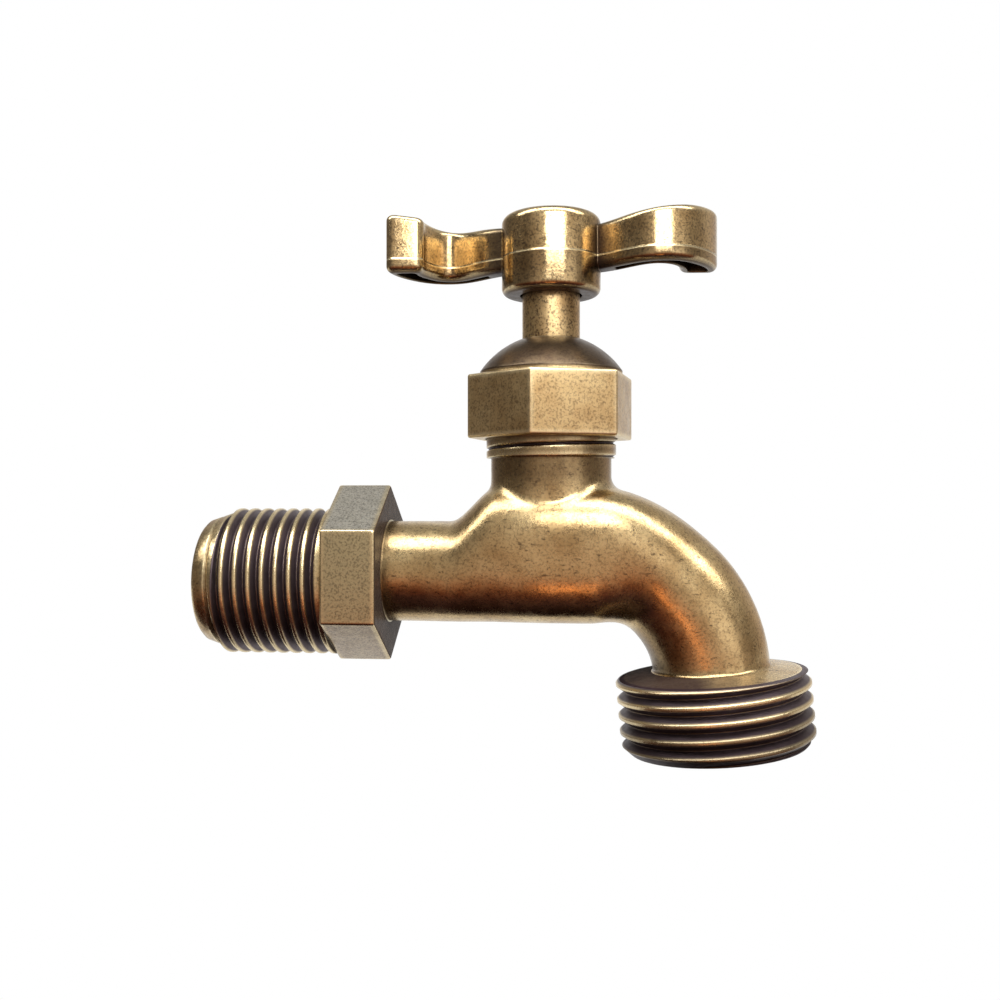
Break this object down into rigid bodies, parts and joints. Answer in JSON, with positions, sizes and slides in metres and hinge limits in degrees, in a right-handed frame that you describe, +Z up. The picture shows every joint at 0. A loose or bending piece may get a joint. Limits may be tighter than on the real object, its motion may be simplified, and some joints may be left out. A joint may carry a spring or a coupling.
{
  "type": "garden tap",
  "caption": "Antique brass garden tap: pipe-thread inlet with hexagon, curved spout with hose thread, hexagon bonnet nut and a curled handle that lifts a screw stem off its seat.",
  "frame": {"origin": "on the inlet thread's axis at the shoulder of the hexagon", "axes": "+X from the inlet towards the spout, +Z up along the stem, in the position of use on a wall pipe"},
  "size_m": [0.0855, 0.0266, 0.0754],
  "materials": {
    "body_brass": "antique, satin, dark in the hollows",
    "nut_brass": "antique, satin, worn bright on the edges",
    "handle_brass": "antique, half bright",
    "stem_brass": "turned, half bright",
    "plain_brass": "machined",
    "screw_brass": "antique, satin",
    "packing": "graphited packing, matt",
    "seat_rubber": "matt"
  },
  "bodies": {
    "tap_body": {"body": "body_brass", "bonnet_nut": "nut_brass", "gland_washer": "plain_brass", "packing_ring": "packing"},
    "valve": {"jumper": "plain_brass", "seat_washer": "seat_rubber", "washer_nut": "plain_brass"},
    "spindle": {"stem": "stem_brass", "handle": "handle_brass", "handle_screw": "screw_brass"}
  },
  "joints": [
    {"name": "stem_rise", "type": "slide", "parent": "tap_body", "child": "valve", "axis": [0, 0, 1], "range_m": [0, 0.005]},
    {"name": "handle_turn", "type": "hinge", "parent": "valve", "child": "spindle", "pos_m": [0.0305, 0, 0.04], "axis": [0, 0, 1], "range_deg": [0, 720]}
  ],
  "couplings": [
    {"joint": "stem_rise", "follows": "handle_turn", "m_per_rad": 0.00039789}
  ]
}
